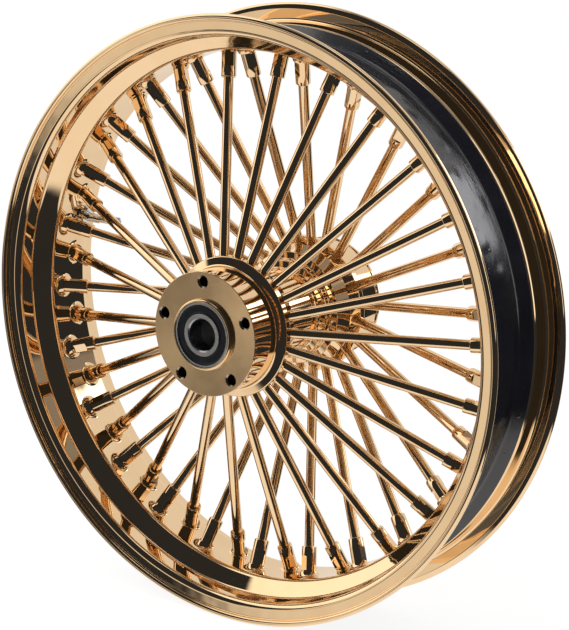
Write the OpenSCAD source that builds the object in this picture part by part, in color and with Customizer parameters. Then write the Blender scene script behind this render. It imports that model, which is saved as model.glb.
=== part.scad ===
// Spoked motorcycle wheel, 18 x 3.5 inch, with fat straight spokes on both hub flanges.
// The origin is the wheel's centre. +Y runs along the axle to the left, +Z is up, +X is forward.
// "right" pieces are on the -Y side, "left" pieces on the +Y side.

/* [Rim] */
// Diameter of the bead seats, where the tyre's beads sit (18 inch size)
bead_seat_d = 456.9; // [455.9:0.1:457.9]
// Distance between the inner faces of the two flanges (3.5 inch size)
rim_width = 88.9; // [86:0.1:92]
// Height of the flanges over the bead seats
flange_h = 14.2; // [13.8:0.1:14.6]
// Thickness of the rolled rim wall
rim_wall = 2.8; // [2.6:0.1:3]
// Radius of the hub side of the well floor
well_r = 212; // [211:0.5:213]
// Half width of the well floor, to the sharp corner of the ramp
well_half = 20.6; // [19:0.1:22]
// Angle of the ramps between the well and the bead seats, from the axle direction
ramp_angle = 50.2; // [46:0.2:54]
// Thickness of the rubber sealing band in the well
band_t = 2.4; // [2:0.1:2.6]

/* [Hub] */
// Half of the distance between the two brake disc faces
disc_face_y = 83.1; // [82:0.1:84]
// Outer radius of the disc faces
disc_face_r = 49; // [48.6:0.1:49.4]
// Bolt circle diameter of the brake disc bolts (3.25 inch)
disc_pcd = 82.55; // [81:0.05:84]
// Radius of a disc bolt hole
disc_bolt_r = 4; // [3.5:0.1:4.4]
// Depth of a disc bolt hole
disc_bolt_depth = 18; // [12:1:20]
// Radius of the collar that centres the disc (2.2 inch)
pilot_r = 27.94; // [27.6:0.02:28.4]
// Height of the collar over the disc face
pilot_h = 4; // [3.4:0.1:4.6]
// Outer radius of the two spoke flanges
flange_r = 55.7; // [55:0.1:56.5]
// Radius of the barrel between the flanges
barrel_r = 33; // [30:0.5:36]
// Radius of the hollow inside the hub
hub_hollow_r = 22.5; // [20:0.5:24]

/* [Spokes] */
// Number of spokes on each flange
spokes_per_side = 25; // [25]
// Diameter of a spoke
spoke_d = 8; // [7.4:0.1:8.2]
// Radius at which a spoke leaves its flange
spoke_hub_r = 52.8; // [52.2:0.1:53.2]
// Distance from the centre plane at which a spoke leaves its flange
spoke_hub_y = 44.4; // [43.8:0.1:45]
// Distance from the centre plane of the two rows of holes in the rim
rim_row_y = 6; // [5.5:0.1:7]
// Angle of the first right spoke from +X
first_right_angle = 1.06; // [0:0.01:3]
// Diameter of a nipple's body
nipple_d = 12; // [11.4:0.1:12.4]
// Distance between the two wrench flats of a nipple
nipple_flats = 9.8; // [9.4:0.1:10.6]
// Length of a nipple from the rim's well floor to its mouth
nipple_len = 23; // [20:0.5:26]

/* [Bearings] */
// Bore diameter of both bearings, which is the axle's diameter
axle_d = 25; // [24.6:0.1:25.4]
// Outer diameter of both bearings
bearing_od = 52; // [51.6:0.1:52.2]
// Width of a bearing
bearing_w = 15; // [14.8:0.1:15.2]
// Diameter of a ball
ball_d = 7.938; // [7.9:0.002:7.98]
// Number of balls in a bearing
ball_count = 9; // [7:1:9]

/* [Valve] */
// Angle of the valve from +X
valve_angle = 165; // [164:0.5:168]
// Distance of the valve from the centre plane
valve_y = 12; // [11:0.5:13]
// Angle by which the valve's stem leans outwards after its elbow
valve_lean = 40; // [30:1:45]
// Length of the valve's stem after its elbow, without the cap
valve_stem_len = 25; // [22:0.5:28]

/* [Hidden] */
$fn = 96;

RIGHT = -1;
LEFT = 1;
cut = 0.1;             // how far a cutting shape runs past the surface that it cuts
clear = 0.1;           // gap between a hole and the piece that fills it

// Rim
seat_r = bead_seat_d / 2;
lip_r = seat_r + flange_h;
flange_y = rim_width / 2;
seat_slope = 5;        // bead seats lean towards the well by this angle
lip_bead = 5.2;        // size of the rolled bead along the lip
lip_y = flange_y + 6.5;
band_rise = 4.6;       // the band lies on the nipple heads, so its floor is this far over the rim's
hub_ramp = [sin(ramp_angle), cos(ramp_angle)];
ramp_normal = [cos(ramp_angle), -sin(ramp_angle)];

// Spokes
spoke_pitch = 360 / spokes_per_side;
spoke_rise = well_r - spoke_hub_r;
spoke_drift = spoke_hub_y + rim_row_y;
spoke_tilt = atan(spoke_drift / spoke_rise);
rim_s = norm([spoke_rise, spoke_drift]);   // along the spoke, from the flange to the well floor
mouth_s = rim_s - nipple_len;
spoke_depth = 12;      // how far a spoke is screwed into its flange
counterbore = 0.6;     // a wider mouth of each spoke hole, this deep below the spoke's start
thread_d = 6.4;        // threaded end of a spoke, inside its nipple
thread_in = 5;         // how deep the nipple's mouth swallows the full spoke
head_d = 15;           // nipple head on the tyre side
head_seat_s = rim_s + 1.1;
head_h = 3.6;
dimple_d = 16;         // raised seat round each hole on the hub side
dimple_top_d = 14.4;
dimple_h = 2.4;

// Hub
disc_bolts = 5;
first_bolt_angle = 91.8;

// Bearings
bearing_y = disc_face_y + pilot_h - 0.3 - bearing_w / 2;
pitch_r = (axle_d + bearing_od) / 4;
groove_r = ball_d / 2 + 0.08;
inner_shoulder_r = pitch_r - 2.5;
outer_shoulder_r = pitch_r + 2.5;
seal_r = 23.9;
seal_y = 5.4;          // seals start this far from the bearing's middle
cage_r = [pitch_r - 0.95, pitch_r + 0.95];
cage_half = 4.9;
spacer_half = bearing_y - bearing_w / 2;

// Valve
valve_hole_d = 8.4;
valve_body_d = 8;
valve_neck = 7;        // straight part of the valve between the rim and the elbow
valve_head_d = 17;
valve_head_h = 2;
grommet_d = 11.2;      // it stays on the flat of the well floor
grommet_t = 1.6;
washer_z = 0.25;       // it bridges the round well floor
washer_t = 1.2;
valve_seat_z = -rim_wall - clear - grommet_t;
core_d = 4.6;
core_len = 8;
cap_len = 9;
cap_d = 8.6;

// --- outlines -------------------------------------------------------------------------------

function unit(v) = v / norm(v);
function across(u, v) = u.x * v.y - u.y * v.x;

// Where the line through p along u meets the line through q along v
function meet(p, u, q, v) = p + u * across(q - p, v) / across(u, v);

// Points of the arc of radius r that rounds the corner b between a and c
function corner(a, b, c, r, steps = 6) =
    let (u = unit(a - b), w = unit(c - b), half = acos(u * w) / 2,
         middle = b + unit(u + w) * r / sin(half),
         start = b + u * r / tan(half) - middle,
         turn = (180 - 2 * half) * (across(b - a, c - b) > 0 ? 1 : -1),
         from = atan2(start.y, start.x))
    [for (i = [0:steps]) middle + r * [cos(from + turn * i / steps), sin(from + turn * i / steps)]];

function flat(p) = [p[0], p[1]];

// A path of [radius, distance along the axle, corner radius] turned into plain points
function rounded(path) = [
    for (i = [0:len(path) - 1])
        each (i == 0 || i == len(path) - 1 || path[i][2] == 0)
            ? [flat(path[i])]
            : corner(flat(path[i - 1]), flat(path[i]), flat(path[i + 1]), path[i][2])];

// A half outline, which starts and ends on the centre plane, closed with its mirror image
function both_halves(half) = concat(half,
    [for (i = [len(half) - 2:-1:1]) [half[i].x, -half[i].y]]);

// Turns an outline of [radius, y] points about the axle
module turned(outline) {
    rotate([-90, 0, 0]) rotate_extrude($fn = 180) polygon(outline);
}

// A cylinder along +Y that starts at y
module along_axle(r, y, length) {
    translate([0, y, 0]) rotate([-90, 0, 0]) cylinder(r = r, h = length);
}

// --- rim ------------------------------------------------------------------------------------

well_corner = [well_r, well_half];
seat_dir = [sin(seat_slope), cos(seat_slope)];
under_seat = [seat_r - rim_wall / cos(seat_slope), flange_y];
hub_knee = meet(well_corner, hub_ramp, under_seat, seat_dir);
tyre_ramp = well_corner + ramp_normal * rim_wall;
tyre_knee = meet(tyre_ramp, hub_ramp, [seat_r, flange_y], seat_dir);
tyre_well = meet(tyre_ramp, hub_ramp, [well_r + rim_wall, 0], [0, 1]);
outer_y = flange_y + rim_wall;

rim_half = rounded([
    [well_r, 0, 0],
    [well_corner.x, well_corner.y, 6],
    [hub_knee.x, hub_knee.y, 4],
    [seat_r - rim_wall, outer_y, 5.3],
    [lip_r - lip_bead, outer_y, 0.8],
    [lip_r - lip_bead, lip_y, 2.5],
    [lip_r, lip_y, 2.55],
    [lip_r, lip_y - lip_bead, 2.5],
    [lip_r - 4.6, flange_y, 3],
    [seat_r, flange_y, 2.5],
    [tyre_knee.x, tyre_knee.y, 6.8],
    [tyre_well.x, tyre_well.y, 3.2],
    [well_r + rim_wall, 0, 0]]);

module rim() {
    color("goldenrod")
    difference() {
        union() {
            turned(both_halves(rim_half));
            intersection() {
                along_axle(well_r + rim_wall / 2, -well_half, 2 * well_half);
                union() {
                    each_spoke(RIGHT) dimple();
                    each_spoke(LEFT) dimple();
                }
            }
        }
        each_spoke(RIGHT) nipple_hole();
        each_spoke(LEFT) nipple_hole();
        at_valve() translate([0, 0, -10]) cylinder(d = valve_hole_d, h = 20);
    }
}

// Raised seat where a nipple leaves the rim on the hub side. It leans with its nipple, so it runs
// far enough into the rim's wall to stand on it all round.
module dimple() {
    translate([0, 0, rim_s - dimple_h]) cylinder(d1 = dimple_top_d, d2 = dimple_d, h = dimple_h);
    translate([0, 0, rim_s]) cylinder(d = dimple_d, h = rim_wall + 1.5);
}

module nipple_hole() {
    reach = 8;         // from the well floor, enough to pass the wall and the raised seat
    translate([0, 0, rim_s - reach]) cylinder(d = nipple_d + 2 * clear, h = 2 * reach);
    translate([0, 0, head_seat_s]) cylinder(d = head_d + 2 * clear, h = reach);
}

band_side = tyre_ramp + ramp_normal * clear;
band_low = meet(band_side, hub_ramp, [well_r + rim_wall + clear, 0], [0, 1]);
band_top = meet(band_side, hub_ramp, [seat_r - 1.8, 0], [0, 1]);
band_inside = band_side + ramp_normal * band_t;
band_floor_r = well_r + rim_wall + band_rise;
band_knee = meet(band_inside, hub_ramp, [band_floor_r, 0], [0, 1]);
band_half = rounded([
    [well_r + rim_wall + clear, 0, 0],
    [band_low.x, band_low.y, 3],
    [band_top.x, band_top.y, 0.5],
    [band_top.x + 0.6, band_top.y - 1.2, 0.4],
    [band_knee.x, band_knee.y, 6],
    [band_floor_r, 0, 0]]);

module rim_band() {
    color([0.09, 0.09, 0.11])
    difference() {
        turned(both_halves(band_half));
        each_spoke(RIGHT) head_pocket();
        each_spoke(LEFT) head_pocket();
        at_valve() translate([0, 0, -12]) cylinder(d = valve_head_d + 2, h = 20);
    }
}

// Hollow in the underside of the band that takes a nipple's head
module head_pocket() {
    translate([0, 0, rim_s]) cylinder(d = head_d + 4 * clear, h = head_seat_s - rim_s + head_h + clear);
}

// --- spokes and nipples ---------------------------------------------------------------------

function spoke_angle(side, i) = first_right_angle + spoke_pitch * (side == RIGHT ? i : i + 0.5);

// Children stand on one spoke's axis, +Z outwards, with z = 0 where the spoke leaves its flange
module on_spoke(side, i) {
    rotate([0, -spoke_angle(side, i), 0])
    translate([spoke_hub_r, side * spoke_hub_y, 0])
    rotate([0, 0, -side * spoke_tilt])
    rotate([0, 90, 0]) children();
}

module each_spoke(side) {
    for (i = [0:spokes_per_side - 1]) on_spoke(side, i) children();
}

module spoke() {
    translate([0, 0, -spoke_depth]) cylinder(d = spoke_d, h = spoke_depth + mouth_s + thread_in);
    translate([0, 0, mouth_s + thread_in - cut]) cylinder(d = thread_d, h = rim_s - mouth_s - thread_in);
}

// One nipple, with its head in the rim and two wrench flats that end in milled arcs
module nipple(turn) {
    mouth_r = spoke_d / 2 + clear;
    bore_r = thread_d / 2 + clear;
    body_r = nipple_d / 2;
    seat = head_seat_s - mouth_s;
    top = seat + head_h;
    chamfer = 0.6;
    head_chamfer = [1.6, 1];
    cutter_r = 6.4;                          // radius of the mill that cut the flats
    mill_start = mouth_s + 7.5 + cutter_r;   // the mill's centre, where it went in
    mill_end = rim_s - dimple_h - 1.4;
    difference() {
        translate([0, 0, mouth_s]) rotate_extrude($fn = 48) polygon([
            [mouth_r, 0], [body_r - chamfer, 0], [body_r, chamfer], [body_r, seat], [head_d / 2, seat],
            [head_d / 2, top - head_chamfer.y], [head_d / 2 - head_chamfer.x, top], [bore_r, top],
            [bore_r, thread_in + clear], [mouth_r, thread_in + clear]]);
        rotate([0, 0, turn]) for (half = [0, 180]) rotate([0, 0, half])
            translate([nipple_flats / 2, 0, 0]) rotate([0, 90, 0]) linear_extrude(body_r) {
                translate([-mill_start, 0]) circle(r = cutter_r, $fn = 48);
                translate([-mill_end, -cutter_r]) square([mill_end - mill_start, 2 * cutter_r]);
            }
    }
}

module spokes(side) {
    color("gold") each_spoke(side) spoke();
}

// The nipples stop at a different angle each, as the spokes are tightened one by one
function nipple_turn(side, i) = (i * 67 + (side == RIGHT ? 20 : 95)) % 180;

module nipples(side) {
    color("darkgoldenrod")
    for (i = [0:spokes_per_side - 1]) on_spoke(side, i) nipple(nipple_turn(side, i));
}

// --- hub ------------------------------------------------------------------------------------

barrel_end_y = 19;
shoulder_r = 40;           // stepped shoulders at the ends of the barrel
shoulder_y = [21.5, 27];
cone_foot = [45.6, 29];    // the bevelled back of a spoke flange starts here
bevel_foot = [50, 40.4];   // its steep last part, which the spokes leave
flange_back_y = 47;
flange_front_y = 52.4;
drum_r = disc_face_r - 0.9;
drum_root_y = 54.6;
edge_y = disc_face_y - 2.2; // the disc face's rim is proud of its drum from here outwards

hub_half = rounded([
    [barrel_r, 0, 0],
    [barrel_r, barrel_end_y, 3],
    [shoulder_r, shoulder_y[0], 1.5],
    [shoulder_r, shoulder_y[1], 1.5],
    [cone_foot.x, cone_foot.y, 1.2],
    [bevel_foot.x, bevel_foot.y, 0.8],
    [flange_r, flange_back_y, 1.2],
    [flange_r, flange_front_y, 1.2],
    [drum_r, drum_root_y, 2.5],
    [drum_r, edge_y - 0.6, 0],
    [disc_face_r, edge_y, 0],
    [disc_face_r, disc_face_y, 0.4],
    [pilot_r, disc_face_y, 0],
    [pilot_r, disc_face_y + pilot_h, 1.5],
    [bearing_od / 2, disc_face_y + pilot_h, 0],
    [bearing_od / 2, spacer_half, 0],
    [hub_hollow_r, spacer_half, 0],
    [hub_hollow_r, 0, 0]]);

module hub() {
    color([0.75, 0.6, 0.36])
    difference() {
        turned(both_halves(hub_half));
        for (side = [RIGHT, LEFT]) {
            each_spoke(side) {
                translate([0, 0, -spoke_depth - clear]) cylinder(d = spoke_d + 2 * clear, h = 30);
                translate([0, 0, -counterbore]) cylinder(d = spoke_d + 1.6, h = spoke_depth);
            }
            for (i = [0:disc_bolts - 1]) disc_bolt_hole(side, i);
        }
    }
}

// The disc bolt holes are five spokes apart, the first of them at the top
module disc_bolt_hole(side, i) {
    countersink = 1.2;
    rotate([0, -first_bolt_angle + i * 360 / disc_bolts, 0])
    translate([disc_pcd / 2, side * disc_face_y, 0])
    rotate([90 * side, 0, 0]) {
        translate([0, 0, -cut]) cylinder(r = disc_bolt_r, h = disc_bolt_depth + cut, $fn = 48);
        translate([0, 0, -cut]) cylinder(r1 = disc_bolt_r + countersink + cut, r2 = disc_bolt_r,
                                         h = countersink + cut, $fn = 48);
    }
}

module spacer_tube() {
    color("silver")
    difference() {
        along_axle(inner_shoulder_r - 0.7, -spacer_half, 2 * spacer_half);
        along_axle(axle_d / 2, -spacer_half - cut, 2 * (spacer_half + cut));
    }
}

// --- bearings -------------------------------------------------------------------------------

// Children stand in a bearing's middle, with +Z out of the hub along the axle
module in_bearing(side) {
    translate([0, side * bearing_y, 0]) rotate([-90 * side, 0, 0]) children();
}

module race(outline) {
    rotate_extrude($fn = 120) difference() {
        polygon(outline);
        translate([pitch_r, 0]) circle(r = groove_r, $fn = 64);
    }
}

module outer_race(side) {
    h = bearing_w / 2;
    r = bearing_od / 2;
    edge = 0.8;
    in_bearing(side) color("lightgrey") race([
        [outer_shoulder_r, -seal_y], [seal_r, -seal_y], [seal_r, -h], [r - edge, -h], [r, -h + edge],
        [r, h - edge], [r - edge, h], [seal_r, h], [seal_r, seal_y], [outer_shoulder_r, seal_y]]);
}

module inner_race(side) {
    h = bearing_w / 2;
    r = axle_d / 2;
    edge = 1;
    in_bearing(side) color("lightgrey") race([
        [r, -h + edge], [r + edge, -h], [inner_shoulder_r, -h], [inner_shoulder_r, h],
        [r + edge, h], [r, h - edge]]);
}

module on_balls() {
    for (i = [0:ball_count - 1]) rotate([0, 0, i * 360 / ball_count]) translate([pitch_r, 0, 0]) children();
}

module balls(side) {
    in_bearing(side) color("silver") on_balls() sphere(d = ball_d, $fn = 48);
}

module cage(side) {
    in_bearing(side) color("peru") difference() {
        translate([0, 0, -cage_half]) cylinder(r = cage_r[1], h = 2 * cage_half);
        translate([0, 0, -cage_half - cut]) cylinder(r = cage_r[0], h = 2 * (cage_half + cut));
        on_balls() rotate([0, 90, 0]) cylinder(r = groove_r, h = 6, center = true, $fn = 48);
    }
}

// A rubber seal, on the outer side of its bearing (1) or on the inner side (-1)
module seal(side, outer) {
    inside_r = inner_shoulder_r + 0.25;
    in_bearing(side) color([0.1, 0.1, 0.13]) mirror([0, 0, outer == 1 ? 0 : 1])
    rotate_extrude($fn = 120) polygon([
        [inside_r, seal_y + 0.3], [seal_r - clear, seal_y + 0.1], [seal_r - clear, bearing_w / 2 - 0.5],
        [seal_r - 0.9, bearing_w / 2 - 0.35], [seal_r - 1.4, bearing_w / 2 - 0.75],
        [inside_r + 1.2, bearing_w / 2 - 0.75], [inside_r + 0.7, bearing_w / 2 - 0.35],
        [inside_r, bearing_w / 2 - 0.5]]);
}

// --- valve ----------------------------------------------------------------------------------

// Children stand on the well floor at the valve, with +Z towards the hub
module at_valve() {
    rotate([0, -valve_angle, 0]) translate([well_r, valve_y, 0]) rotate([0, -90, 0]) children();
}

// Children stand at the valve's elbow, with +Z along its leaning stem
module past_elbow() {
    at_valve() translate([0, 0, valve_neck]) rotate([-valve_lean, 0, 0]) children();
}

module valve_stem() {
    stem_d = 6.4;
    pin_hole_d = 3.4;
    shank_len = 9;         // the thick part after the elbow
    core_hole = 10;
    body_z = valve_seat_z - cut;
    foot_z = valve_seat_z - valve_head_h;
    color("silver")
    difference() {
        union() {
            at_valve() translate([0, 0, foot_z]) cylinder(d = valve_head_d, h = valve_head_h);
            at_valve() translate([0, 0, body_z]) cylinder(d = valve_body_d, h = valve_neck - body_z);
            past_elbow() sphere(d = valve_body_d);
            past_elbow() cylinder(d = valve_body_d, h = shank_len);
            past_elbow() cylinder(d = stem_d, h = valve_stem_len);
        }
        at_valve() translate([0, 0, foot_z - cut]) cylinder(d = pin_hole_d, h = valve_neck - foot_z + cut);
        past_elbow() cylinder(d = pin_hole_d, h = valve_stem_len + cut);
        past_elbow() translate([0, 0, valve_stem_len - core_hole]) cylinder(d = core_d, h = core_hole + 1);
    }
}

module valve_grommet() {
    color([0.1, 0.1, 0.1]) at_valve() translate([0, 0, valve_seat_z]) difference() {
        cylinder(d = grommet_d, h = grommet_t);
        translate([0, 0, -cut]) cylinder(d = valve_body_d, h = grommet_t + 2 * cut);
    }
}

module valve_washer() {
    color("silver") at_valve() translate([0, 0, washer_z]) difference() {
        cylinder(d = 15, h = washer_t);
        translate([0, 0, -cut]) cylinder(d = valve_hole_d, h = washer_t + 2 * cut);
    }
}

module valve_nut() {
    across_flats = 12;
    height = 4;
    color("silver") at_valve() translate([0, 0, washer_z + washer_t]) difference() {
        intersection() {
            cylinder(d = across_flats / cos(30), h = height, $fn = 6);
            cylinder(r1 = 10, r2 = 6.2, h = height);
        }
        translate([0, 0, -cut]) cylinder(d = valve_body_d, h = height + 2 * cut);
    }
}

// The core is screwed into the stem's mouth, and the pin slides in it
module valve_core() {
    color("goldenrod") past_elbow() translate([0, 0, valve_stem_len - 9.6]) difference() {
        cylinder(d = core_d, h = core_len);
        translate([0, 0, -cut]) cylinder(d = 1.8, h = core_len + 2 * cut);
    }
}

module valve_pin() {
    color("silver") past_elbow() {
        translate([0, 0, valve_stem_len - 12.4]) cylinder(d = 1.5, h = 12);
        translate([0, 0, valve_stem_len - 12.6]) cylinder(d = 3, h = 1.8);
    }
}

module valve_cap() {
    bevel = 1.4;
    color("silver") past_elbow() translate([0, 0, valve_stem_len + 1.8 - cap_len]) difference() {
        union() {
            cylinder(d = cap_d, h = cap_len - bevel);
            translate([0, 0, cap_len - bevel]) cylinder(d1 = cap_d, d2 = cap_d - 2 * bevel, h = bevel);
        }
        translate([0, 0, -cut]) cylinder(d = 6.4, h = cap_len - 1.5);
    }
}

// --- pieces ---------------------------------------------------------------------------------

rim();
rim_band();
hub();
spokes(RIGHT);  // spokes_right
spokes(LEFT);  // spokes_left
nipples(RIGHT);  // nipples_right
nipples(LEFT);  // nipples_left
outer_race(RIGHT);  // bearing_right_outer_race
inner_race(RIGHT);  // bearing_right_inner_race
balls(RIGHT);  // bearing_right_balls
cage(RIGHT);  // bearing_right_cage
seal(RIGHT, 1);  // bearing_right_outer_seal
seal(RIGHT, -1);  // bearing_right_inner_seal
outer_race(LEFT);  // bearing_left_outer_race
inner_race(LEFT);  // bearing_left_inner_race
balls(LEFT);  // bearing_left_balls
cage(LEFT);  // bearing_left_cage
seal(LEFT, 1);  // bearing_left_outer_seal
seal(LEFT, -1);  // bearing_left_inner_seal
spacer_tube();
valve_stem();
valve_grommet();
valve_washer();
valve_nut();
valve_core();
valve_pin();
valve_cap();
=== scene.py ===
import math
import bpy
import bmesh
from mathutils import Matrix, Vector, noise


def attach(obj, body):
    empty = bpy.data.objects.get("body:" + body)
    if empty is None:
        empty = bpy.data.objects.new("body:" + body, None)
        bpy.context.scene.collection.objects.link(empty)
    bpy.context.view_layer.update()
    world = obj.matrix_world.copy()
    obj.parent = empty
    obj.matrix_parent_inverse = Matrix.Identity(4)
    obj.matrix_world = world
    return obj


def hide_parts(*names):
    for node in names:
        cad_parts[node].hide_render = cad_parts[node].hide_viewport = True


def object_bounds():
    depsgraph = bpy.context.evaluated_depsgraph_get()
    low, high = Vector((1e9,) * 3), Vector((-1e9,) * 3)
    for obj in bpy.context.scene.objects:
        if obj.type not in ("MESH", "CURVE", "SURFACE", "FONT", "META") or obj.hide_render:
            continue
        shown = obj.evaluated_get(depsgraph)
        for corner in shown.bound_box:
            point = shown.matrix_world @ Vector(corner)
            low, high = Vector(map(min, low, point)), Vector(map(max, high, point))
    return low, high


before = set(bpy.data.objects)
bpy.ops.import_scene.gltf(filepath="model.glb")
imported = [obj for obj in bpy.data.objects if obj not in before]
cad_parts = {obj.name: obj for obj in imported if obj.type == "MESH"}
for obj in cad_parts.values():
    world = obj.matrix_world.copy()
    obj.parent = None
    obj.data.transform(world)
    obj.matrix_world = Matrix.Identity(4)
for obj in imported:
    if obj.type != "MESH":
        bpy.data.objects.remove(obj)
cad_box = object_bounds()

# ---------------------------------------------------------------------------------------------
# Camera: it stands in front of the right face, a little to the side and above the axle, and
# looks at the middle of the wheel through a long lens.
view_azimuth, view_elevation, view_distance = 36.66, 13.50, 1.9952
aim_right, aim_up, focal_length, film_width = 0.0119, -0.0007, 143.6, 36
turn, climb = math.radians(view_azimuth), math.radians(view_elevation)
to_camera = Vector((math.sin(turn) * math.cos(climb), -math.cos(turn) * math.cos(climb), math.sin(climb)))
to_right = Vector((math.cos(turn), math.sin(turn), 0))
to_top = to_right.cross(-to_camera)
camera = bpy.data.objects.new("camera", bpy.data.cameras.new("camera"))
bpy.context.scene.collection.objects.link(camera)
camera.location = view_distance * to_camera + aim_right * to_right + aim_up * to_top
camera.rotation_euler = (-to_camera).to_track_quat("-Z", "Y").to_euler()
camera.data.lens = focal_length
camera.data.sensor_width = film_width
bpy.context.scene.camera = camera
bpy.context.scene.view_settings.view_transform = "Standard"

# ---------------------------------------------------------------------------------------------
# Studio: a pale floor under an even white room. Polished metal also sees the room's dark
# front, the big soft window at its left and the small one behind, which draw its streaks.
room = bpy.data.worlds.new("studio")
bpy.context.scene.world = room
room.use_nodes = True
room.cycles.sampling_method = "NONE"
room.node_tree.nodes.clear()


def plug(tree, socket, value):
    """Sets a socket to a number, or links another socket into it."""
    if isinstance(value, bpy.types.NodeSocket):
        tree.links.new(value, socket)
    else:
        socket.default_value = value


def calc(tree, operation, a, b=0.0, c=0.0):
    """One step of arithmetic between sockets and numbers."""
    node = tree.nodes.new("ShaderNodeMath")
    node.operation = operation
    for socket, value in zip(node.inputs, (a, b, c)):
        plug(tree, socket, value)
    return node.outputs[0]


def ramp(tree, value, low, high, at_low=0.0, at_high=1.0):
    """Goes smoothly from at_low to at_high as value goes from low to high."""
    node = tree.nodes.new("ShaderNodeMapRange")
    node.interpolation_type = "SMOOTHSTEP"
    for socket, number in zip(node.inputs, (value, low, high, at_low, at_high)):
        plug(tree, socket, number)
    return node.outputs[0]


def blend_colour(tree, factor, a, b):
    """Goes from colour a to colour b as factor goes from 0 to 1."""
    node = tree.nodes.new("ShaderNodeMix")
    node.data_type = "RGBA"
    plug(tree, node.inputs[0], factor)
    plug(tree, node.inputs[6], a)
    plug(tree, node.inputs[7], b)
    return node.outputs[2]


tree = room.node_tree
look = tree.nodes.new("ShaderNodeTexCoord").outputs["Generated"]
split = tree.nodes.new("ShaderNodeSeparateXYZ")
plug(tree, split.inputs[0], look)
degrees = 180 / math.pi
forward = calc(tree, "MULTIPLY", split.outputs[1], -1)
compass_angle = calc(tree, "MULTIPLY", calc(tree, "ARCTAN2", split.outputs[0], forward), degrees)
height_angle = calc(tree, "MULTIPLY", calc(tree, "ARCSINE", split.outputs[2]), degrees)


def patch(left, right, low, high, soft):
    """Mask of the part of the room between two compass angles and two heights, in degrees."""
    sides = calc(tree, "MULTIPLY", ramp(tree, compass_angle, left - soft, left + soft),
                 ramp(tree, compass_angle, right - soft, right + soft, 1, 0))
    levels = calc(tree, "MULTIPLY", ramp(tree, height_angle, low - soft, low + soft),
                  ramp(tree, height_angle, high - soft, high + soft, 1, 0))
    return calc(tree, "MULTIPLY", sides, levels)


room_light = (0.27, 0.26, 0.25, 1)
unlit = (0.026, 0.029, 0.034, 1)
# Each row: left, right, low, high and half the soft edge's width in degrees, and the light
for left, right, low, high, soft, light in (
        (-180, 180, -92, -38, 3, (1.00, 0.97, 0.92, 1)),       # white table under the wheel
        (-180, 180, 76, 92, 3, (1.15, 1.13, 1.10, 1)),         # ceiling
        (-36, 98, -38, 78, 1.5, unlit),                        # the front of the room
        (-51, 0, 4, 78, 1.5, unlit),                           # and its upper left
        (-38.5, -28, -40, -4, 2.5, (0.84, 0.80, 0.73, 1)),     # the table's far end
        (-60, -38.5, -20.5, -9.5, 0.8, unlit),                 # its edge, seen from the side
        (98, 180, -38, 9, 2.0, unlit),                         # the room behind and to the right
        (-128, -36, -9, 4, 1.2, (0.80, 0.76, 0.69, 1)),        # window at the left, its lower part
        (-128, -51, 4, 62, 1.2, (1.35, 1.29, 1.18, 1)),        # and its upper part
        (104, 122, -5, 55, 1.5, (1.4, 1.36, 1.28, 1)),         # strip at the right
        (140, 170, 11, 32, 1.0, (3.0, 3.0, 3.1, 1))):          # window behind
    room_light = blend_colour(tree, patch(left, right, low, high, soft), room_light, light)

rays = tree.nodes.new("ShaderNodeLightPath")
even_light = blend_colour(tree, rays.outputs["Is Camera Ray"], (0.8, 0.8, 0.8, 1), (1, 1, 1, 1))
seen = blend_colour(tree, rays.outputs["Is Glossy Ray"], even_light, room_light)
background = tree.nodes.new("ShaderNodeBackground")
plug(tree, background.inputs["Color"], seen)
output = tree.nodes.new("ShaderNodeOutputWorld")
tree.links.new(background.outputs[0], output.inputs[0])


def studio_sheet(name, corners):
    """A flat four-cornered surface with an empty material of its own."""
    mesh = bpy.data.meshes.new(name)
    mesh.from_pydata(corners, [], [(0, 1, 2, 3)])
    thing = bpy.data.objects.new(name, mesh)
    bpy.context.scene.collection.objects.link(thing)
    paint = bpy.data.materials.new(name + " paint")
    paint.use_nodes = True
    paint.node_tree.nodes.clear()
    mesh.materials.append(paint)
    return thing, paint.node_tree


floor_half, floor_z, floor_grey, floor_glow = 12.0, cad_box[0][2], 0.16, 0.89
floor, tree = studio_sheet("floor", [(-floor_half, -floor_half, floor_z), (floor_half, -floor_half, floor_z),
                                     (floor_half, floor_half, floor_z), (-floor_half, floor_half, floor_z)])
floor.visible_glossy = False
pale = tree.nodes.new("ShaderNodeBsdfDiffuse")
pale.inputs["Color"].default_value = (floor_grey, floor_grey, floor_grey, 1)
glow = tree.nodes.new("ShaderNodeEmission")
rays = tree.nodes.new("ShaderNodeLightPath")
plug(tree, glow.inputs["Strength"], calc(tree, "MULTIPLY", rays.outputs["Is Camera Ray"], floor_glow))
both = tree.nodes.new("ShaderNodeAddShader")
tree.links.new(pale.outputs[0], both.inputs[0])
tree.links.new(glow.outputs[0], both.inputs[1])
output = tree.nodes.new("ShaderNodeOutputMaterial")
tree.links.new(both.outputs[0], output.inputs[0])

# A white card stands behind the wheel, and only the polished metal and the rubber see it
card_y, card_left, card_right, card_low, card_high, card_light = 0.9, -1.3, 0.50, -1.2, 1.35, 0.85
card, tree = studio_sheet("back card", [(card_left, card_y, card_low), (card_right, card_y, card_low),
                                        (card_right, card_y, card_high), (card_left, card_y, card_high)])
card.visible_camera = card.visible_diffuse = card.visible_shadow = False
glow = tree.nodes.new("ShaderNodeEmission")
glow.inputs["Color"].default_value = (1.0, 0.97, 0.92, 1)
glow.inputs["Strength"].default_value = card_light
output = tree.nodes.new("ShaderNodeOutputMaterial")
tree.links.new(glow.outputs[0], output.inputs[0])

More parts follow.
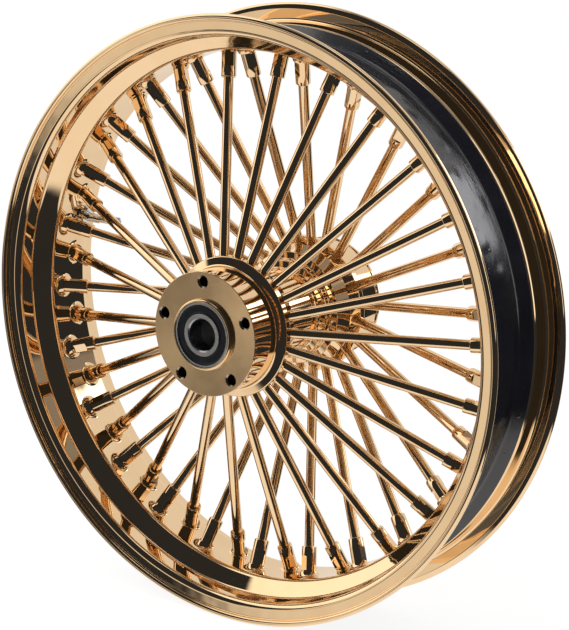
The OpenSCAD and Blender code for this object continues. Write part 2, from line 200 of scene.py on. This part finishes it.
lamp_width, lamp_power, lamp_place = 1.8, 26, (-0.9, -1.3, 2.1)
lamp = bpy.data.objects.new("soft lamp", bpy.data.lights.new("soft lamp", "AREA"))
bpy.context.scene.collection.objects.link(lamp)
lamp.data.shape = "DISK"
lamp.data.size = lamp_width
lamp.data.energy = lamp_power
lamp.location = lamp_place
lamp.rotation_euler = (-Vector(lamp_place)).to_track_quat("-Z", "Y").to_euler()
lamp.visible_glossy = False

# ---------------------------------------------------------------------------------------------
# Rim: a steel band rolled into a drop-centre section and plated with gold-toned chrome. It is
# turned from its outline with true round corners, so that the mirror finish has no facets.
MM = 0.001
RIGHT, LEFT = -1, 1
seat_r, flange_y, lip_r = 228.45, 44.45, 242.65
well_r, well_half = 212.0, 20.6
rim_wall, outer_y, lip_y, lip_bead, lip_wall = 2.8, 47.25, 50.95, 5.2, 4.6
ramp_slope, seat_slope = math.radians(50.2), math.radians(5)
rim_steps, corner_steps, touching = 360, 9, 1e-4


def across(u, v):
    """Cross product of two flat vectors."""
    return u[0] * v[1] - u[1] * v[0]


def meet(p, u, q, v):
    """Where the line through p along u meets the line through q along v."""
    k = across((q[0] - p[0], q[1] - p[1]), v) / across(u, v)
    return (p[0] + k * u[0], p[1] + k * u[1])


ramp_dir = (math.sin(ramp_slope), math.cos(ramp_slope))
ramp_out = (math.cos(ramp_slope), -math.sin(ramp_slope))
seat_dir = (math.sin(seat_slope), math.cos(seat_slope))
under_seat = (seat_r - rim_wall / math.cos(seat_slope), flange_y)
hub_knee = meet((well_r, well_half), ramp_dir, under_seat, seat_dir)
tyre_ramp = (well_r + ramp_out[0] * rim_wall, well_half + ramp_out[1] * rim_wall)
tyre_knee = meet(tyre_ramp, ramp_dir, (seat_r, flange_y), seat_dir)
tyre_well = meet(tyre_ramp, ramp_dir, (well_r + rim_wall, 0), (0, 1))
# Half outlines go from the centre plane outwards and back: radius, place along the axle, and
# the radius of the round corner there
rim_half = [(well_r, 0, 0), (well_r, well_half, 6), (*hub_knee, 4), (seat_r - rim_wall, outer_y, 5.3),
            (lip_r - lip_bead, outer_y, 0.8), (lip_r - lip_bead, lip_y, 2.5), (lip_r, lip_y, 2.55),
            (lip_r, lip_y - lip_bead, 2.5), (lip_r - lip_wall, flange_y, 3), (seat_r, flange_y, 2.5),
            (*tyre_knee, 6.8), (*tyre_well, 3.2), (well_r + rim_wall, 0, 0)]


def mirrored(half):
    """A half outline that starts and ends on the centre plane, closed with its mirror image."""
    return half + [(r, -y, c) for r, y, c in reversed(half[1:-1])]


def stretches(path, steps=corner_steps):
    """A closed path of (radius, y, corner radius) as stretches (start, end, its two normals)."""
    points = [Vector((r, y)) for r, y, _ in path]
    count = len(path)
    side = 1 if sum(across(points[i - 1], points[i]) for i in range(count)) > 0 else -1
    rounds = []
    for i, (_, _, radius) in enumerate(path):
        here = points[i]
        back = (points[i - 1] - here).normalized()
        onward = (points[(i + 1) % count] - here).normalized()
        if radius == 0:
            rounds.append([(here, None)])
            continue
        half_angle = back.angle(onward) / 2
        middle = here + (back + onward).normalized() * radius / math.sin(half_angle)
        first = here + back * radius / math.tan(half_angle) - middle
        bend = (math.pi - 2 * half_angle) * (1 if across(-back, onward) > 0 else -1)
        outward = 1 if bend * side > 0 else -1
        arc = []
        for k in range(steps + 1):
            spoke = Matrix.Rotation(bend * k / steps, 2) @ first
            arc.append((middle + spoke, spoke.normalized() * outward))
        rounds.append(arc)
    result = []
    for i, arc in enumerate(rounds):
        for (a, a_normal), (b, b_normal) in zip(arc, arc[1:]):
            result.append((a, b, a_normal, b_normal))
        a, b = arc[-1][0], rounds[(i + 1) % count][0][0]
        if (b - a).length > touching:
            along = (b - a).normalized()
            normal = Vector((along.y, -along.x)) * side
            result.append((a, b, normal, normal))
    return result


def mesh_piece(name, points, faces, normals=None, materials=(), face_material=None, sharp=30):
    """A piece in metres; normals are for each face corner, or sharp edges are set by angle."""
    mesh = bpy.data.meshes.new(name)
    mesh.from_pydata([tuple(c * MM for c in p) for p in points], [], faces)
    mesh.shade_smooth()
    if normals:
        mesh.normals_split_custom_set(normals)
    else:
        mesh.set_sharp_from_angle(angle=math.radians(sharp))
    for material in materials:
        mesh.materials.append(material)
    if face_material:
        mesh.polygons.foreach_set("material_index", face_material)
    piece = bpy.data.objects.new(name, mesh)
    bpy.context.scene.collection.objects.link(piece)
    return piece


def turned(outline, steps, shift=None):
    """Points, faces and corner normals of an outline turned about the axle."""
    points, faces, normals = [], [], []
    circle = [(math.cos(2 * math.pi * k / steps), math.sin(2 * math.pi * k / steps)) for k in range(steps)]
    rings, ring_of = [], {}
    for start, end, _, _ in outline:
        for p in (start, end):
            key = (round(p.x, 4), round(p.y, 4))
            if key not in ring_of:
                ring_of[key] = len(rings)
                rings.append(p)
    for p in rings:
        for c, s in circle:
            q = (p.x * c, p.y, p.x * s)
            points.append(shift(q, p) if shift else q)
    for start, end, a_normal, b_normal in outline:
        a, b = (ring_of[(round(p.x, 4), round(p.y, 4))] * steps for p in (start, end))
        for k in range(steps):
            n = (k + 1) % steps
            faces.append((a + k, b + k, b + n, a + n))
            for normal, place in ((a_normal, k), (b_normal, k), (b_normal, n), (a_normal, n)):
                c, s = circle[place]
                normals.append((normal.x * c, normal.y, normal.x * s))
    corner, beside, opposite = (Vector(points[i]) for i in faces[0][:3])
    facing = (beside - corner).cross(opposite - corner)
    if facing.dot(Vector(normals[0])) < 0:
        faces = [tuple(reversed(f)) for f in faces]
        normals = [n for i in range(0, len(normals), 4) for n in reversed(normals[i:i + 4])]
    return points, faces, normals


def new_material(name):
    """A material with its tree, its shader and the places of its surface in metres."""
    material = bpy.data.materials.new(name)
    material.use_nodes = True
    tree = material.node_tree
    shader = tree.nodes["Principled BSDF"]
    where = tree.nodes.new("ShaderNodeTexCoord").outputs["Object"]
    return material, tree, shader, where


def speckle(tree, where, scale, detail, rough):
    """Soft random spots, finer as the scale goes up."""
    node = tree.nodes.new("ShaderNodeTexNoise")
    for label, value in (("Vector", where), ("Scale", scale), ("Detail", detail), ("Roughness", rough)):
        plug(tree, node.inputs[label], value)
    return node.outputs["Fac"]


def group_shell(name, inputs, outputs):
    """An empty shader node group: its tree, its input sockets and its output node."""
    group = bpy.data.node_groups.new(name, "ShaderNodeTree")
    for label, kind, value in inputs:
        socket = group.interface.new_socket(label, in_out="INPUT", socket_type=kind)
        if value is not None:
            socket.default_value = value
    for label, kind in outputs:
        group.interface.new_socket(label, in_out="OUTPUT", socket_type=kind)
    entry = group.nodes.new("NodeGroupInput")
    return group, entry.outputs, group.nodes.new("NodeGroupOutput")


def place_group(tree, group, where, values):
    """Puts a node group in a material with values of its own, and gives its outputs."""
    node = tree.nodes.new("ShaderNodeGroup")
    node.node_tree = group
    plug(tree, node.inputs["Place"], where)
    for label, value in values.items():
        node.inputs[label].default_value = value
    return node.outputs


def colour_and_gloss(tree, shader, effect):
    """Takes a material's colour and roughness from the outputs of a node group."""
    plug(tree, shader.inputs["Base Color"], effect["Colour"])
    plug(tree, shader.inputs["Roughness"], effect["Roughness"])


def bumps(tree, shader, height, strength, distance):
    """Gives a material fine relief from a height."""
    bump = tree.nodes.new("ShaderNodeBump")
    bump.inputs["Strength"].default_value = strength
    bump.inputs["Distance"].default_value = distance
    plug(tree, bump.inputs["Height"], height)
    plug(tree, shader.inputs["Normal"], bump.outputs["Normal"])


VECTOR, NUMBER, COLOUR = "NodeSocketVector", "NodeSocketFloat", "NodeSocketColor"

# Plating: wiping haze in soft clouds with fine specks in it, and a very slight wave
plating, given, out = group_shell(
    "plating", [("Place", VECTOR, None), ("Smooth", NUMBER, 0.03), ("Haze", NUMBER, 0.04),
                ("Tint", COLOUR, (0.86, 0.58, 0.31, 1)), ("Deep tint", COLOUR, (0.74, 0.44, 0.19, 1))],
    [("Colour", COLOUR), ("Roughness", NUMBER), ("Height", NUMBER)])
clouds = speckle(plating, given["Place"], scale=26, detail=4, rough=0.6)
specks = speckle(plating, given["Place"], scale=900, detail=2, rough=0.5)
waves = speckle(plating, given["Place"], scale=42, detail=1, rough=0.4)
wipe = ramp(plating, clouds, 0.42, 0.68)
specks_in_haze = calc(plating, "MULTIPLY_ADD", ramp(plating, specks, 0.62, 0.76), 0.15, wipe)
haze = calc(plating, "MULTIPLY", specks_in_haze, given["Haze"])
plug(plating, out.inputs["Colour"], blend_colour(plating, calc(plating, "MULTIPLY", wipe, 0.55),
                                                 given["Tint"], given["Deep tint"]))
plug(plating, out.inputs["Roughness"], calc(plating, "ADD", haze, given["Smooth"]))
plug(plating, out.inputs["Height"], waves)

# Turning marks: fine rings round the axle, as forming rollers and lathe tools leave them
turning, given, out = group_shell(
    "turning marks", [("Place", VECTOR, None), ("Along axle", NUMBER, 1), ("Fineness", NUMBER, 260),
                      ("Detail", NUMBER, 2), ("Rough", NUMBER, 0.5)],
    [("Height", NUMBER)])
split = turning.nodes.new("ShaderNodeSeparateXYZ")
plug(turning, split.inputs[0], given["Place"])
squares = [calc(turning, "POWER", split.outputs[i], 2) for i in (0, 2)]
ring = turning.nodes.new("ShaderNodeCombineXYZ")
plug(turning, ring.inputs[0], calc(turning, "SQRT", calc(turning, "ADD", *squares)))
plug(turning, ring.inputs[1], calc(turning, "MULTIPLY", split.outputs[1], given["Along axle"]))
plug(turning, out.inputs["Height"],
     speckle(turning, ring.outputs[0], given["Fineness"], given["Detail"], given["Rough"]))


def gold_plate(name, smooth, haze, wave, rolled=0.0, tint=(0.90, 0.66, 0.41, 1), deep=(0.85, 0.59, 0.34, 1)):
    """Gold-toned chrome plating; rolled is the height of the rolled rings beside the wave."""
    material, tree, shader, where = new_material(name)
    effect = place_group(tree, plating, where, {
        "Smooth": smooth, "Haze": haze, "Tint": tint, "Deep tint": deep})
    colour_and_gloss(tree, shader, effect)
    shader.inputs["Metallic"].default_value = 1
    height = effect["Height"]
    if rolled:
        rings = place_group(tree, turning, where, {"Fineness": 260, "Detail": 2, "Rough": 0.5})
        height = calc(tree, "MULTIPLY_ADD", rings["Height"], rolled, height)
    bumps(tree, shader, height, wave, 0.001)
    return material


rim_gold = gold_plate("rim gold", 0.02, 0.035, 0.10, rolled=0.04)
points, faces, normals = turned(stretches(mirrored(rim_half)), rim_steps)
rim = mesh_piece("rim", points, faces, normals, [rim_gold])
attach(rim, "wheel")
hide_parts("rim")

# ---------------------------------------------------------------------------------------------
# Nipple seats: the rim is pressed up a little round each of the 50 holes, so that a nipple
# stands on a small flared boss. Both rows lean towards their own hub flange.
spokes_per_side, spoke_pitch, first_right_angle = 25, 14.4, 1.06
spoke_hub_r, spoke_hub_y, rim_row_y = 52.8, 44.4, 6.0
spoke_rise, spoke_drift = well_r - spoke_hub_r, spoke_hub_y + rim_row_y
spoke_tilt = math.atan(spoke_drift / spoke_rise)
rim_s = math.hypot(spoke_rise, spoke_drift)


def on_spoke(side, i):
    """Stands a shape on a spoke's axis: +Z outwards, from z = 0 where it leaves its flange."""
    angle = math.radians(first_right_angle + spoke_pitch * (i if side == RIGHT else i + 0.5))
    return (Matrix.Rotation(-angle, 4, "Y") @ Matrix.Translation((spoke_hub_r, side * spoke_hub_y, 0))
            @ Matrix.Rotation(-side * spoke_tilt, 4, "Z") @ Matrix.Rotation(math.pi / 2, 4, "Y"))


def each_spoke(side, points, faces, spin=lambda i: 0):
    """Copies a shape onto all 25 spokes of one flange."""
    all_points, all_faces = [], []
    for i in range(spokes_per_side):
        place = on_spoke(side, i) @ Matrix.Rotation(math.radians(spin(i)), 4, "Z")
        start = len(all_points)
        all_points += [place @ Vector(p) for p in points]
        all_faces += [tuple(start + k for k in f) for f in faces]
    return all_points, all_faces


def grid_faces(rings, columns):
    """Faces between closed rings of points that follow one another."""
    return [(a * columns + k, a * columns + (k + 1) % columns,
             (a + 1) * columns + (k + 1) % columns, (a + 1) * columns + k)
            for a in range(rings - 1) for k in range(columns)]


boss_top_r, boss_foot_r, boss_height, boss_columns, boss_rings = 7.2, 11.2, 2.4, 40, 8
foot_sink, elbow_gap, top_edges = 0.06, 0.5, (0.82, 0.95)


def flared_boss(side):
    """A boss on the well floor: a round top that flows into the rim's hub side."""
    place = on_spoke(side, 0)

    def on_floor(r, angle):
        """The point of the well floor that lies r from the spoke's axis."""
        p, z = Vector((r * math.cos(angle), r * math.sin(angle), 0)), rim_s
        for _ in range(6):  # each step brings z nearer to the floor's curve
            q = place @ Vector((p.x, p.y, z))
            z += (well_r - math.hypot(q.x, q.z))
        return Vector((p.x, p.y, z))

    columns = []
    for k in range(boss_columns):
        angle = 2 * math.pi * k / boss_columns
        foot, elbow = on_floor(boss_foot_r, angle), on_floor(boss_top_r + elbow_gap, angle)
        foot.z += foot_sink
        top = Vector((boss_top_r * math.cos(angle), boss_top_r * math.sin(angle),
                      min(rim_s - boss_height, elbow.z - elbow_gap)))
        column = [Vector((top.x * share, top.y * share, top.z)) for share in top_edges]
        for ring in range(boss_rings):
            u = ring / (boss_rings - 1)
            column.append(top.lerp(elbow, u).lerp(elbow.lerp(foot, u), u))
        columns.append(column)
    points = [column[ring] for ring in range(len(columns[0])) for column in columns]
    return points, grid_faces(len(columns[0]), boss_columns)


points, faces = [], []
for side in (RIGHT, LEFT):
    side_points, side_faces = each_spoke(side, *flared_boss(side))
    faces += [tuple(len(points) + k for k in reversed(f)) for f in side_faces]
    points += side_points
seats = mesh_piece("rim_nipple_seats", points, faces, None, [rim_gold], sharp=50)
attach(seats, "wheel")
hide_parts("rim")

# ---------------------------------------------------------------------------------------------
# Rim band: black sealing rubber stretched over the nipple heads in the well. It is glossy in
# soft patches, with small blisters, fine wrinkles along it, and a swelling over each head.
band_gap, band_t, band_floor_r, band_floor_half, band_steps = 0.1, 2.4, 219.4, 16, 540
band_below_seat, edge_round_r, edge_round_y, band_rows, floor_margin = 1.8, 0.6, 1.2, 8, 0.3
head_above_rim, head_reach, head_swell = 4, 10, 0.55
uneven_height, uneven_scale, least_lift = 0.16, 0.05, -0.1
band_side = (tyre_ramp[0] + ramp_out[0] * band_gap, tyre_ramp[1] + ramp_out[1] * band_gap)
band_low = meet(band_side, ramp_dir, (well_r + rim_wall + band_gap, 0), (0, 1))
band_top = meet(band_side, ramp_dir, (seat_r - band_below_seat, 0), (0, 1))
band_inside = (band_side[0] + ramp_out[0] * band_t, band_side[1] + ramp_out[1] * band_t)
band_knee = meet(band_inside, ramp_dir, (band_floor_r, 0), (0, 1))
band_half = [(well_r + rim_wall + band_gap, 0, 0), (*band_low, 3), (*band_top, 0.5),
             (band_top[0] + edge_round_r, band_top[1] - edge_round_y, 0.4), (*band_knee, 6)]
band_half += [(band_floor_r, band_knee[1] * k / band_rows, 0) for k in range(band_rows - 2, -1, -1)]
head_places = [on_spoke(side, i) @ Vector((0, 0, rim_s + head_above_rim))
               for side in (RIGHT, LEFT) for i in range(spokes_per_side)]


def blister(q, p):
    """Lifts the band's tyre side over the nipple heads, with a slight unevenness."""
    if p.x < band_floor_r - floor_margin or abs(p.y) > band_floor_half:
        return q
    angle = math.atan2(q[2], q[0])
    lift = uneven_height * noise.noise(Vector(q) * uneven_scale)
    for head in head_places:
        off = (angle - math.atan2(head.z, head.x) + math.pi) % (2 * math.pi) - math.pi
        gap = math.hypot(off * band_floor_r, q[1] - head.y)
        if gap < head_reach:
            lift += head_swell * (1 - (gap / head_reach) ** 2) ** 2
    k = 1 + max(lift, least_lift) / p.x
    return (q[0] * k, q[1], q[2] * k)


points, faces, normals = turned(stretches(mirrored(band_half), 5), band_steps, blister)

# Wear: soft clouds where a surface was handled, a little different in colour and in gloss
wear, given, out = group_shell(
    "wear", [("Place", VECTOR, None), ("Scale", NUMBER, 60), ("Detail", NUMBER, 4),
             ("Colour from", NUMBER, 0.35), ("Gloss from", NUMBER, 0.3),
             ("Clean", COLOUR, (0.5, 0.5, 0.5, 1)), ("Worn", COLOUR, (0.4, 0.4, 0.4, 1)),
             ("Smooth", NUMBER, 0.2), ("Rough", NUMBER, 0.3)],
    [("Colour", COLOUR), ("Roughness", NUMBER)])
clouds = speckle(wear, given["Place"], given["Scale"], given["Detail"], 0.6)
plug(wear, out.inputs["Colour"], blend_colour(wear, ramp(wear, clouds, given["Colour from"], 0.7),
                                              given["Clean"], given["Worn"]))
plug(wear, out.inputs["Roughness"], ramp(wear, clouds, given["Gloss from"], 0.7,
                                         given["Smooth"], given["Rough"]))

rubber, tree, shader, where = new_material("band rubber")
stretched = tree.nodes.new("ShaderNodeMapping")
stretched.inputs["Scale"].default_value = (1, 6, 1)
plug(tree, stretched.inputs["Vector"], where)
wrinkles = speckle(tree, stretched.outputs[0], scale=34, detail=5, rough=0.62)
blisters = tree.nodes.new("ShaderNodeTexVoronoi")
plug(tree, blisters.inputs["Vector"], where)
blisters.inputs["Scale"].default_value = 95
pimples = ramp(tree, blisters.outputs["Distance"], 0.02, 0.16, 1, 0)
dust = speckle(tree, where, scale=1500, detail=2, rough=0.6)
height = calc(tree, "MULTIPLY_ADD", pimples, 0.5, calc(tree, "MULTIPLY_ADD", dust, 0.10, wrinkles))
bumps(tree, shader, height, 0.35, 0.0006)
colour_and_gloss(tree, shader, place_group(tree, wear, where, {
    "Scale": 18, "Detail": 4, "Colour from": 0.4, "Gloss from": 0.35, "Clean": (0.010, 0.010, 0.014, 1),
    "Worn": (0.016, 0.016, 0.023, 1), "Smooth": 0.12, "Rough": 0.22}))
shader.inputs["Specular IOR Level"].default_value = 0.85
band = mesh_piece("rim_band", points, faces, None, [rubber], sharp=60)
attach(band, "wheel")
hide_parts("rim_band")

# ---------------------------------------------------------------------------------------------
# Spokes: straight 8 mm rods, plated like the rim. Each is screwed into the bevel of its hub
# flange and runs into the mouth of its nipple.
spoke_r, spoke_columns, into_flange, into_nipple = 4.0, 40, 4.0, 3.0
nipple_len = 23.0
mouth_s = rim_s - nipple_len
spoke_gold = gold_plate("spoke gold", 0.06, 0.03, 0.03)
rod_angles = [2 * math.pi * k / spoke_columns for k in range(spoke_columns)]
rod = [(spoke_r * math.cos(a), spoke_r * math.sin(a), z)
       for z in (-into_flange, mouth_s / 2, mouth_s + into_nipple) for a in rod_angles]
for side, name in ((RIGHT, "spokes_right"), (LEFT, "spokes_left")):
    points, faces = each_spoke(side, rod, grid_faces(3, spoke_columns))
    spokes = mesh_piece(name, points, faces, None, [spoke_gold], sharp=40)
    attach(spokes, "wheel")
    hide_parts(name)

# ---------------------------------------------------------------------------------------------
# Nipples: fat round nuts that hold the spokes in the rim, with a chamfered mouth and two
# milled wrench flats that end in the cutter's arc. Each one has stopped at its own angle.
nipple_r, flat_half, cutter_r = 6.0, 4.9, 6.4
flat_from, flat_to, milled_step = 7.5, 19.2, 0.03
mouth_play, mouth_depth, mouth_chamfer, into_rim = 0.05, 2.5, 0.5, 1
nose = ((0.75, 0.0), (0.25, 0.18), (0.0, 0.7))
flat_columns, round_columns = 5, 11
flat_edge = math.acos(flat_half / nipple_r)


def nipple_shape():
    """Rings of one nipple from inside its mouth to its foot in the rim."""
    columns = []
    for middle in (0, math.pi):
        for k in range(-flat_columns, flat_columns + 1):
            off = flat_edge * k / flat_columns
            columns.append((middle + off, True, off))
        gap = math.pi - 2 * flat_edge
        columns += [(middle + flat_edge + gap * k / round_columns, False, 0)
                    for k in range(1, round_columns)]
    mouth = ((spoke_r + mouth_play, mouth_depth), (spoke_r + mouth_play, mouth_chamfer),
             (spoke_r + mouth_play + mouth_chamfer, 0.0),
             *((nipple_r - inside, z) for inside, z in nose))
    rings = [[(r, z) for _ in columns] for r, z in mouth]
    step_low, step_high, run_low, run_high = [], [], [], []
    for _, cut, off in columns:
        flat_r = flat_half / math.cos(off) if cut else nipple_r
        chord = flat_half * math.tan(off if cut else flat_edge)
        arc = flat_from + cutter_r - math.sqrt(cutter_r ** 2 - chord ** 2)
        step_low.append((nipple_r, arc))
        run_low.append((flat_r, arc + milled_step))
        run_high.append((flat_r, flat_to - milled_step))
        step_high.append((nipple_r, flat_to))
    foot = [(nipple_r, nipple_len + into_rim) for _ in columns]
    rings += [step_low, run_low, run_high, step_high, foot]
    points = [(r * math.cos(column[0]), r * math.sin(column[0]), mouth_s + z)
              for ring in rings for (r, z), column in zip(ring, columns)]
    return points, grid_faces(len(rings), len(columns))


nipple_gold = gold_plate("nipple gold", 0.035, 0.03, 0.03)
turn_step = 67
for side, name, first_turn in ((RIGHT, "nipples_right", 20), (LEFT, "nipples_left", 95)):
    points, faces = each_spoke(side, *nipple_shape(), spin=lambda i: (i * turn_step + first_turn) % 180)
    nipples = mesh_piece(name, points, faces, None, [nipple_gold], sharp=28)
    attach(nipples, "wheel")
    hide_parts(name)

# ---------------------------------------------------------------------------------------------
# Hub: one turned and polished casting with two spoke flanges and two drums. Each drum ends in
# a satin machined face with five countersunk bolt holes, round a collar that centres the disc.
disc_face_y, disc_face_r, pilot_r, pilot_h = 83.1, 49.0, 27.94, 4.0
race_r, race_stop_y = 26.0, 71.8
bolt_circle_r, bolt_r, bolt_depth, bolt_sink, drill_tip_r = 41.275, 4.0, 18.0, 1.2, 0.4
bolts, first_bolt, hole_steps, hub_steps = 5, 91.8, 48, 300
waist_r, bore_r, flange_r, face_edge = 33, 22.5, 55.7, 0.5
drum_r, edge_y = disc_face_r - 0.9, disc_face_y - 2.2
hub_half = [(waist_r, 0, 0), (waist_r, 19, 3), (40, 21.5, 1.5), (40, 27, 1.5), (45.6, 29, 1.2),
            (50, 40.4, 0.8), (flange_r, 47, 1.2), (flange_r, 52.4, 1.2), (drum_r, 54.6, 2.5),
            (drum_r, edge_y - 0.6, 0.2), (disc_face_r, edge_y, 0.2), (disc_face_r, disc_face_y, face_edge),
            (pilot_r, disc_face_y, 0.15), (pilot_r, disc_face_y + pilot_h, 1.5),
            (race_r, disc_face_y + pilot_h, 0.3), (race_r, race_stop_y, 0), (bore_r, race_stop_y, 0),
            (bore_r, 0, 0)]
outline = stretches(mirrored(hub_half), 8)


def is_disc_face(stretch):
    """Whether a stretch of the outline is one of the two machined faces, which have holes."""
    return all(abs(abs(p.y) - disc_face_y) < 0.01 for p in stretch[:2])


POLISHED, MACHINED, DRILLED = 0, 1, 2
points, faces, normals = turned([s for s in outline if not is_disc_face(s)], hub_steps)
face_material = [POLISHED] * len(faces)
edge_radii = sorted(p.x for s in outline if is_disc_face(s) for p in s[:2])


def ring_points(middle_x, middle_z, y, radius, count):
    """Points of a circle that faces along the axle."""
    return [(middle_x + radius * math.cos(2 * math.pi * k / count), y,
             middle_z + radius * math.sin(2 * math.pi * k / count)) for k in range(count)]


def add_faces(new_points, new_faces, new_normals, kind):
    """Adds to the hub's mesh."""
    start = len(points)
    points.extend(new_points)
    faces.extend(tuple(start + k for k in f) for f in new_faces)
    normals.extend(new_normals)
    face_material.extend([kind] * len(new_faces))


for side in (RIGHT, LEFT):
    y = side * disc_face_y
    sheet = bmesh.new()
    loops = [ring_points(0, 0, y, r, hub_steps) for r in (edge_radii[0], edge_radii[-1])]
    for i in range(bolts):
        angle = math.radians(first_bolt - 360 / bolts * i)
        centre = (bolt_circle_r * math.cos(angle), bolt_circle_r * math.sin(angle))
        levels = ((bolt_r + bolt_sink, 0), (bolt_r, bolt_sink),
                  (bolt_r, bolt_depth), (drill_tip_r, bolt_depth))
        loops.append(ring_points(*centre, y, bolt_r + bolt_sink, hole_steps))
        for (r0, z0), (r1, z1) in zip(levels, levels[1:]):
            top = ring_points(*centre, y - side * z0, r0, hole_steps)
            low = ring_points(*centre, y - side * z1, r1, hole_steps)
            slope = Vector((z1 - z0, r0 - r1)).normalized()
            walls, wall_normals = [], []
            for k in range(hole_steps):
                n = (k + 1) % hole_steps
                quad = (k, hole_steps + k, hole_steps + n, n)
                walls.append(quad if side == LEFT else (quad[0], quad[3], quad[2], quad[1]))
                for corner in walls[-1]:
                    a = 2 * math.pi * (corner % hole_steps) / hole_steps
                    wall_normals.append((-slope.x * math.cos(a), side * slope.y, -slope.x * math.sin(a)))
            add_faces(top + low, walls, wall_normals, DRILLED)
    edges = []
    for loop in loops:
        corners = [sheet.verts.new(p) for p in loop]
        edges += [sheet.edges.new((corners[k - 1], corners[k])) for k in range(len(corners))]
    bmesh.ops.triangle_fill(sheet, use_beauty=True, use_dissolve=False, edges=edges)
    sheet.verts.index_update()
    bmesh.ops.recalc_face_normals(sheet, faces=sheet.faces)
    flat_faces = []
    for face in sheet.faces:
        order = [v.index for v in face.verts]
        flat_faces.append(tuple(order if face.normal.y * side > 0 else reversed(order)))
    add_faces([tuple(v.co) for v in sheet.verts], flat_faces,
              [(0, side, 0)] * sum(len(f) for f in flat_faces), MACHINED)
    sheet.free()

hub_gold = gold_plate("hub gold", 0.03, 0.04, 0.10)
# The bolt holes and their countersinks get a darker, browner, duller copy of the gold plating: painted shade
# inside the holes, on top of the shade their depth already gives
hole_gold_painted_shade = gold_plate("bolt hole gold with painted shade", 0.22, 0.08, 0.05,
                       tint=(0.42, 0.33, 0.25, 1), deep=(0.30, 0.23, 0.17, 1))
disc_gold, tree, shader, where = new_material("disc face gold")
colour_and_gloss(tree, shader, place_group(tree, wear, where, {
    "Scale": 60, "Detail": 4, "Colour from": 0.35, "Gloss from": 0.3, "Clean": (0.78, 0.55, 0.31, 1),
    "Worn": (0.73, 0.50, 0.28, 1), "Smooth": 0.22, "Rough": 0.26}))
tool_marks = place_group(tree, turning, where, {
    "Along axle": 0, "Fineness": 2600, "Detail": 3, "Rough": 0.7})
bumps(tree, shader, tool_marks["Height"], 0.05, 0.0002)
shader.inputs["Metallic"].default_value = 1
shader.inputs["Anisotropic"].default_value = 0.75
grooves = tree.nodes.new("ShaderNodeTangent")
grooves.direction_type = "RADIAL"
grooves.axis = "Y"
plug(tree, shader.inputs["Tangent"], grooves.outputs[0])
hub = mesh_piece("hub", points, faces, normals, [hub_gold, disc_gold, hole_gold_painted_shade], face_material)
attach(hub, "wheel")
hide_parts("hub")

# ---------------------------------------------------------------------------------------------
# Bearings and spacer: ground steel races, a pressed cage, black rubber seals that snap into
# the outer race, and the plain tube that keeps the two inner races apart.


def plain_metal(name, clean, worn, smooth, rough, marks):
    """Bare turned metal; marks is the strength of the lines its tool left."""
    material, tree, shader, where = new_material(name)
    colour_and_gloss(tree, shader, place_group(tree, wear, where, {
        "Scale": 140, "Detail": 4, "Colour from": 0.35, "Gloss from": 0.3, "Clean": clean, "Worn": worn,
        "Smooth": smooth, "Rough": rough}))
    shader.inputs["Metallic"].default_value = 1
    lines = place_group(tree, turning, where, {"Fineness": 3200, "Detail": 2, "Rough": 0.6})
    bumps(tree, shader, lines["Height"], marks, 0.0002)
    return material


race_steel = plain_metal("ground steel", (0.46, 0.46, 0.47, 1), (0.38, 0.38, 0.39, 1), 0.24, 0.32, 0.05)
tube_steel = plain_metal("turned steel", (0.62, 0.62, 0.63, 1), (0.52, 0.52, 0.53, 1), 0.42, 0.55, 0.2)

seal_rubber, tree, shader, where = new_material("seal rubber")
colour_and_gloss(tree, shader, place_group(tree, wear, where, {
    "Scale": 120, "Detail": 3, "Colour from": 0.4, "Gloss from": 0.3, "Clean": (0.007, 0.008, 0.011, 1),
    "Worn": (0.013, 0.014, 0.018, 1), "Smooth": 0.30, "Rough": 0.42}))
shader.inputs["Specular IOR Level"].default_value = 0.22
bumps(tree, shader, speckle(tree, where, scale=1800, detail=3, rough=0.6), 0.2, 0.0001)


def finish_piece(name, finish):
    """Gives a piece that keeps its own mesh its finish."""
    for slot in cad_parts[name].material_slots:
        slot.material = finish


finishes = {"outer_race": race_steel, "inner_race": race_steel, "balls": race_steel, "cage": tube_steel,
            "outer_seal": seal_rubber, "inner_seal": seal_rubber}
for hub_side in ("right", "left"):
    for kind, finish in finishes.items():
        finish_piece("bearing_%s_%s" % (hub_side, kind), finish)
finish_piece("spacer_tube", tube_steel)

# ---------------------------------------------------------------------------------------------
# Valve: a bright chromed brass stem that leans to the left side, held by a washer and a nut
# against a rubber grommet, with a cap over its core.
valve_chrome, tree, shader, where = new_material("valve chrome")
colour_and_gloss(tree, shader, place_group(tree, plating, where, {
    "Smooth": 0.03, "Haze": 0.06, "Tint": (0.80, 0.81, 0.84, 1), "Deep tint": (0.66, 0.67, 0.70, 1)}))
shader.inputs["Metallic"].default_value = 1
valve_brass = plain_metal("valve brass", (0.72, 0.56, 0.30, 1), (0.55, 0.40, 0.20, 1), 0.22, 0.36, 0.1)
for finish, names in ((valve_chrome, ("valve_stem", "valve_nut", "valve_washer", "valve_cap")),
                      (valve_brass, ("valve_core", "valve_pin")), (seal_rubber, ("valve_grommet",))):
    for name in names:
        finish_piece(name, finish)
